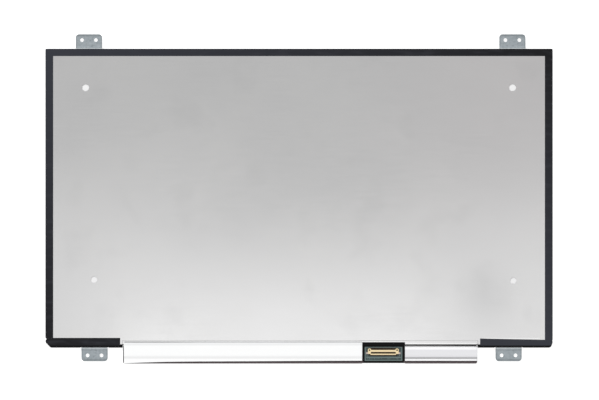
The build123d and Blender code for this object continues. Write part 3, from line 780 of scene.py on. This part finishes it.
insulator_black = new_finish("insulator_black")
lower_strip = inside(insulator_black, lower_strip_x, lower_strip_y, soft=0.15)
beside_window = inside(insulator_black, window_x, window_y, soft=0.4)
scuffed = work_out(insulator_black, "SUBTRACT", lower_strip, beside_window)
insulator_cloud = cloud(insulator_black, size=1.5, stretch=(6, 1, 1), detail=3)
insulator_tone = shade(insulator_black, insulator_cloud, *insulator_tones)
coat(
    insulator_black,
    colour=shade(insulator_black, scuffed, insulator_tone, scuffed_insulator),
    roughness=vary(insulator_black, insulator_cloud, 0.45, 0.55),
    normal=relief(insulator_black, insulator_cloud, depth=0.008),
    Specular_IOR_Level=0.12,
)
dress(insulator_black, "board_insulator")


# Cover films
# Two strips of white polyester film over the board. The left one is stuck to the plate's stepped margin,
# where a line of its adhesive shows, and hangs down to the board's lower edge; the right one stands on the
# board along both its edges.
def white_film_finish(name, tones, greyer, grey_y, fold_shade, fold_shade_y):
    """White film, greyer in one band along it, with painted shade darkening it along its crease."""
    finish = new_finish(name)
    haze = cloud(finish, size=4, stretch=(6, 1, 1), detail=3)
    band = inside(finish, full_width, grey_y, soft=0.35)
    banded = shade(finish, band, shade(finish, haze, *tones), greyer)
    coat(
        finish,
        # Painted shade along the crease, where the film bends down towards the board.
        colour=shade(finish, inside(finish, full_width, fold_shade_y, soft=0.35), banded, fold_shade),
        roughness=vary(finish, haze, 0.34, 0.46),
        normal=relief(finish, haze, depth=0.006),
    )
    return finish


swells = ((11, 0.6, 1), (4.7, 2.0, 0.6), (29, 0, 0.4))
drooping_rows = 2
leaning_rows = 3


def film_sheet(x, rows, columns, wave, droops=(), lean=0.0):
    """A thin sheet whose rows, from its lower to its upper edge, are given as (y, z, share of the waves).
    Its lower edge droops at the left end, each time by a depth over a reach, along a curve. Its upper edge
    leans along its length."""
    mesh = bmesh.new()
    bmesh.ops.create_grid(mesh, x_segments=columns, y_segments=len(rows) - 1, size=1)
    for point in mesh.verts:
        run = (x[1] - x[0]) * (point.co.x + 1) / 2
        row = round((point.co.y + 1) / 2 * (len(rows) - 1))
        y, z, loose = rows[row]
        if row < drooping_rows:
            y -= sum(depth * max(0, 1 - run / reach) ** curve for depth, reach, curve in droops)
        if row >= len(rows) - leaning_rows:
            y += lean * run
        swell = sum(part * math.sin((x[0] + run) / length + start) for length, start, part in swells)
        ripple = wave * loose * swell
        point.co = Vector((x[0] + run, y + ripple, z + ripple)) * mm
    return mesh


film_thickness = 0.1
films = {
    "left": {
        "rows": [
            (-102.65, 1.8, 0.3),
            (-102.3, 1.78, 0.3),
            (-102.0, 1.78, 0.4),
            (-101.7, 1.81, 0.6),
            (-101.2, 1.9, 0.8),
            (-100.6, 2.07, 1),
            (-100.0, 2.25, 1),
            (-99.4, 2.38, 1),
            (-98.4, 2.46, 1),
            (-95.8, 2.655, 1),
            (-94.2, 2.775, 1),
            (-93.3, 2.84, 0.6),
            (-92.7, 2.89, 0.3),
            (-92.2, 2.94, 0.1),
            (-91.7, 2.957, 0),
            (-91.22, 2.957, 0),
        ],
        "columns": 110,
        "wave": 0.03,
        "droops": ((0.75, 150, 1), (0.95, 45, 2.2)),
        "lean": 0.0,
        "tones": ((0.885, 0.89, 0.89), (0.915, 0.92, 0.92)),
        "greyer": (0.8, 0.806, 0.81),
        "grey_y": (-92.9, -90.0),
        "fold_shade": (0.87, 0.872, 0.875),
        "fold_shade_y": (-101.3, -100.0),
    },
    "right": {
        "rows": [
            (-102.77, 1.58, 0.3),
            (-102.36, 1.48, 0.3),
            (-102.0, 1.41, 0.2),
            (-101.75, 1.4, 0.3),
            (-101.5, 1.47, 0.4),
            (-101.2, 1.71, 0.6),
            (-100.85, 1.97, 0.8),
            (-100.45, 2.13, 1),
            (-99.7, 2.23, 1),
            (-98.7, 2.275, 1),
            (-98.0, 2.265, 1),
            (-97.2, 2.245, 1),
            (-96.4, 2.265, 1),
            (-95.7, 2.27, 1),
            (-95.1, 2.18, 1),
            (-94.5, 1.98, 0.6),
            (-94.0, 1.76, 0.3),
            (-93.7, 1.58, 0.2),
            (-93.4, 1.43, 0.1),
            (-93.1, 1.4, 0),
        ],
        "columns": 36,
        "wave": 0.035,
        "droops": (),
        "lean": -0.006,
        "tones": ((0.82, 0.82, 0.83), (0.86, 0.86, 0.868)),
        "greyer": (0.715, 0.715, 0.735),
        "grey_y": (-101.2, -95.6),
        "fold_shade": (0.465, 0.465, 0.48),
        "fold_shade_y": (-101.4, -100.3),
    },
}
for side, film in films.items():
    low, high = (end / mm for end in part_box(f"cover_film_{side}"))
    film_mesh = film_sheet(
        (low.x, high.x),
        film["rows"],
        film["columns"],
        film["wave"],
        film["droops"],
        film["lean"],
    )
    white_film = white_film_finish(
        f"white_film_{side}",
        film["tones"],
        film["greyer"],
        film["grey_y"],
        film["fold_shade"],
        film["fold_shade_y"],
    )
    piece = add_piece(film_mesh, f"film_over_board_{side}", "white_film", white_film)
    rounding = piece.modifiers.new("rounding", "SUBSURF")
    rounding.levels = 2
    rounding.render_levels = 2
    rounding.boundary_smooth = "PRESERVE_CORNERS"
    gauge = piece.modifiers.new("gauge", "SOLIDIFY")
    gauge.thickness = film_thickness * mm
    gauge.offset = 1
    for face in piece.data.polygons:
        face.use_smooth = True
    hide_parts(f"cover_film_{side}")

adhesive_tones = ((0.46, 0.465, 0.47), (0.55, 0.555, 0.56))
thick_adhesive = (0.262, 0.26, 0.268)
thick_x = (-130, -72)
thick_y = (-95, -85)
adhesive_grey = new_finish("adhesive_grey")
adhesive_cloud = cloud(adhesive_grey, size=0.6, stretch=(5, 1, 1), detail=4)
adhesive_tone = shade(adhesive_grey, adhesive_cloud, *adhesive_tones)
thick_end = inside(adhesive_grey, thick_x, thick_y, soft=14)
coat(
    adhesive_grey,
    colour=shade(adhesive_grey, thick_end, adhesive_tone, thick_adhesive),
    roughness=vary(adhesive_grey, adhesive_cloud, 0.4, 0.55),
    normal=relief(adhesive_grey, adhesive_cloud, depth=0.006),
)

adhesive_x = (-110.4, 39.8)
adhesive_level = 2.952
adhesive_thickness = 0.004
adhesive_wave = 0.03
adhesive_rows = [(-91.5, adhesive_level, 0), (-90.97, adhesive_level, 0), (-90.45, adhesive_level, 0.6)]
adhesive_mesh = film_sheet(adhesive_x, adhesive_rows, 60, adhesive_wave)
for point in adhesive_mesh.verts:
    point.co.z = adhesive_level * mm
adhesive = add_piece(adhesive_mesh, "film_adhesive", "white_film", adhesive_grey)
gauge = adhesive.modifiers.new("gauge", "SOLIDIFY")
gauge.thickness = adhesive_thickness * mm
gauge.offset = 1


# Floor
# A plain white floor that the panel lies on, screen face down. Seen directly it is lifted to white, and
# it still takes the panel's shadow.
floor_half = 6.0
floor_grey = (0.5, 0.5, 0.5, 1)
plain_white = (1, 1, 1, 1)
floor_lift = 0.82

floor_mesh = bmesh.new()
bmesh.ops.create_grid(floor_mesh, x_segments=2, y_segments=2, size=floor_half)
floor_data = bpy.data.meshes.new("floor")
floor_mesh.to_mesh(floor_data)
floor_mesh.free()
floor = bpy.data.objects.new("floor", floor_data)
bpy.context.scene.collection.objects.link(floor)

floor_white = new_finish("floor_white")
ray = add_node(floor_white, "ShaderNodeLightPath")
seen = work_out(floor_white, "MAXIMUM", ray.outputs["Is Camera Ray"], ray.outputs["Is Glossy Ray"])
seen = work_out(floor_white, "MAXIMUM", seen, ray.outputs["Is Transmission Ray"])
lift = work_out(floor_white, "MULTIPLY", seen, floor_lift)
floor_sockets = shader_of(floor_white).inputs
feed(floor_white, floor_sockets["Base Color"], floor_grey)
feed(floor_white, floor_sockets["Roughness"], 0.9)
feed(floor_white, floor_sockets["Emission Color"], plain_white)
feed(floor_white, floor_sockets["Emission Strength"], lift)
floor_data.materials.append(floor_white)


# Light
# An even pale surround, soft boxes overhead beyond the connector edge that brighten the plate towards it,
# and a key from the upper left that shapes the films and edges, kept out of the metal's mirror reflections.
surround_glow = 0.53
world = bpy.data.worlds.new("surround")
world.use_nodes = True
world.node_tree.nodes["Background"].inputs["Color"].default_value = plain_white
world.node_tree.nodes["Background"].inputs["Strength"].default_value = surround_glow
bpy.context.scene.world = world


def soft_lamp(name, place, aim, width, depth, glow):
    """A rectangular soft box at a place, turned to a point, with the given brightness of its face."""
    box = bpy.data.lights.new(name, "AREA")
    box.shape = "RECTANGLE"
    box.size = width
    box.size_y = depth
    box.energy = glow * math.pi * width * depth
    lamp = bpy.data.objects.new(name, box)
    lamp.location = place
    lamp.rotation_euler = (Vector(aim) - Vector(place)).to_track_quat("-Z", "Y").to_euler()
    bpy.context.scene.collection.objects.link(lamp)
    return lamp


box_height = 1.2
middle_y = -0.77
middle_width = 0.46
middle_depth = 1.36
middle_glow = 0.52
wing_y = -0.73
wing_width = 0.38
wing_depth = 1.42
wings = (("left", -0.42, 0.33), ("right", 0.42, 0.355))
key_place = (-1.7, 3.2, 3.4)
key_size = 2.0
key_glow = 16.2
overhead = (0.0, middle_y, box_height)
soft_lamp("overhead_box", overhead, (0.0, middle_y, 0), middle_width, middle_depth, middle_glow)
for side, x, glow in wings:
    soft_lamp(f"wing_box_{side}", (x, wing_y, box_height), (x, wing_y, 0), wing_width, wing_depth, glow)
key = soft_lamp("key_box", key_place, (0, 0, 0), key_size, key_size, key_glow)
key.visible_glossy = False
bpy.context.scene.view_settings.view_transform = "Standard"


# Camera
# Straight above the back of the panel with a long lens, so that the frame takes in the whole panel with
# hardly any perspective.
view_width = 0.3781
view_x = 0.3
view_y = -1.1
camera_data = bpy.data.cameras.new("camera")
camera_data.lens = 100
camera_data.sensor_width = 36
camera = bpy.data.objects.new("camera", camera_data)
camera_height = view_width * camera_data.lens / camera_data.sensor_width
camera.location = (view_x * mm, view_y * mm, camera_height + cad_box[1].z)
bpy.context.scene.collection.objects.link(camera)
bpy.context.scene.camera = camera
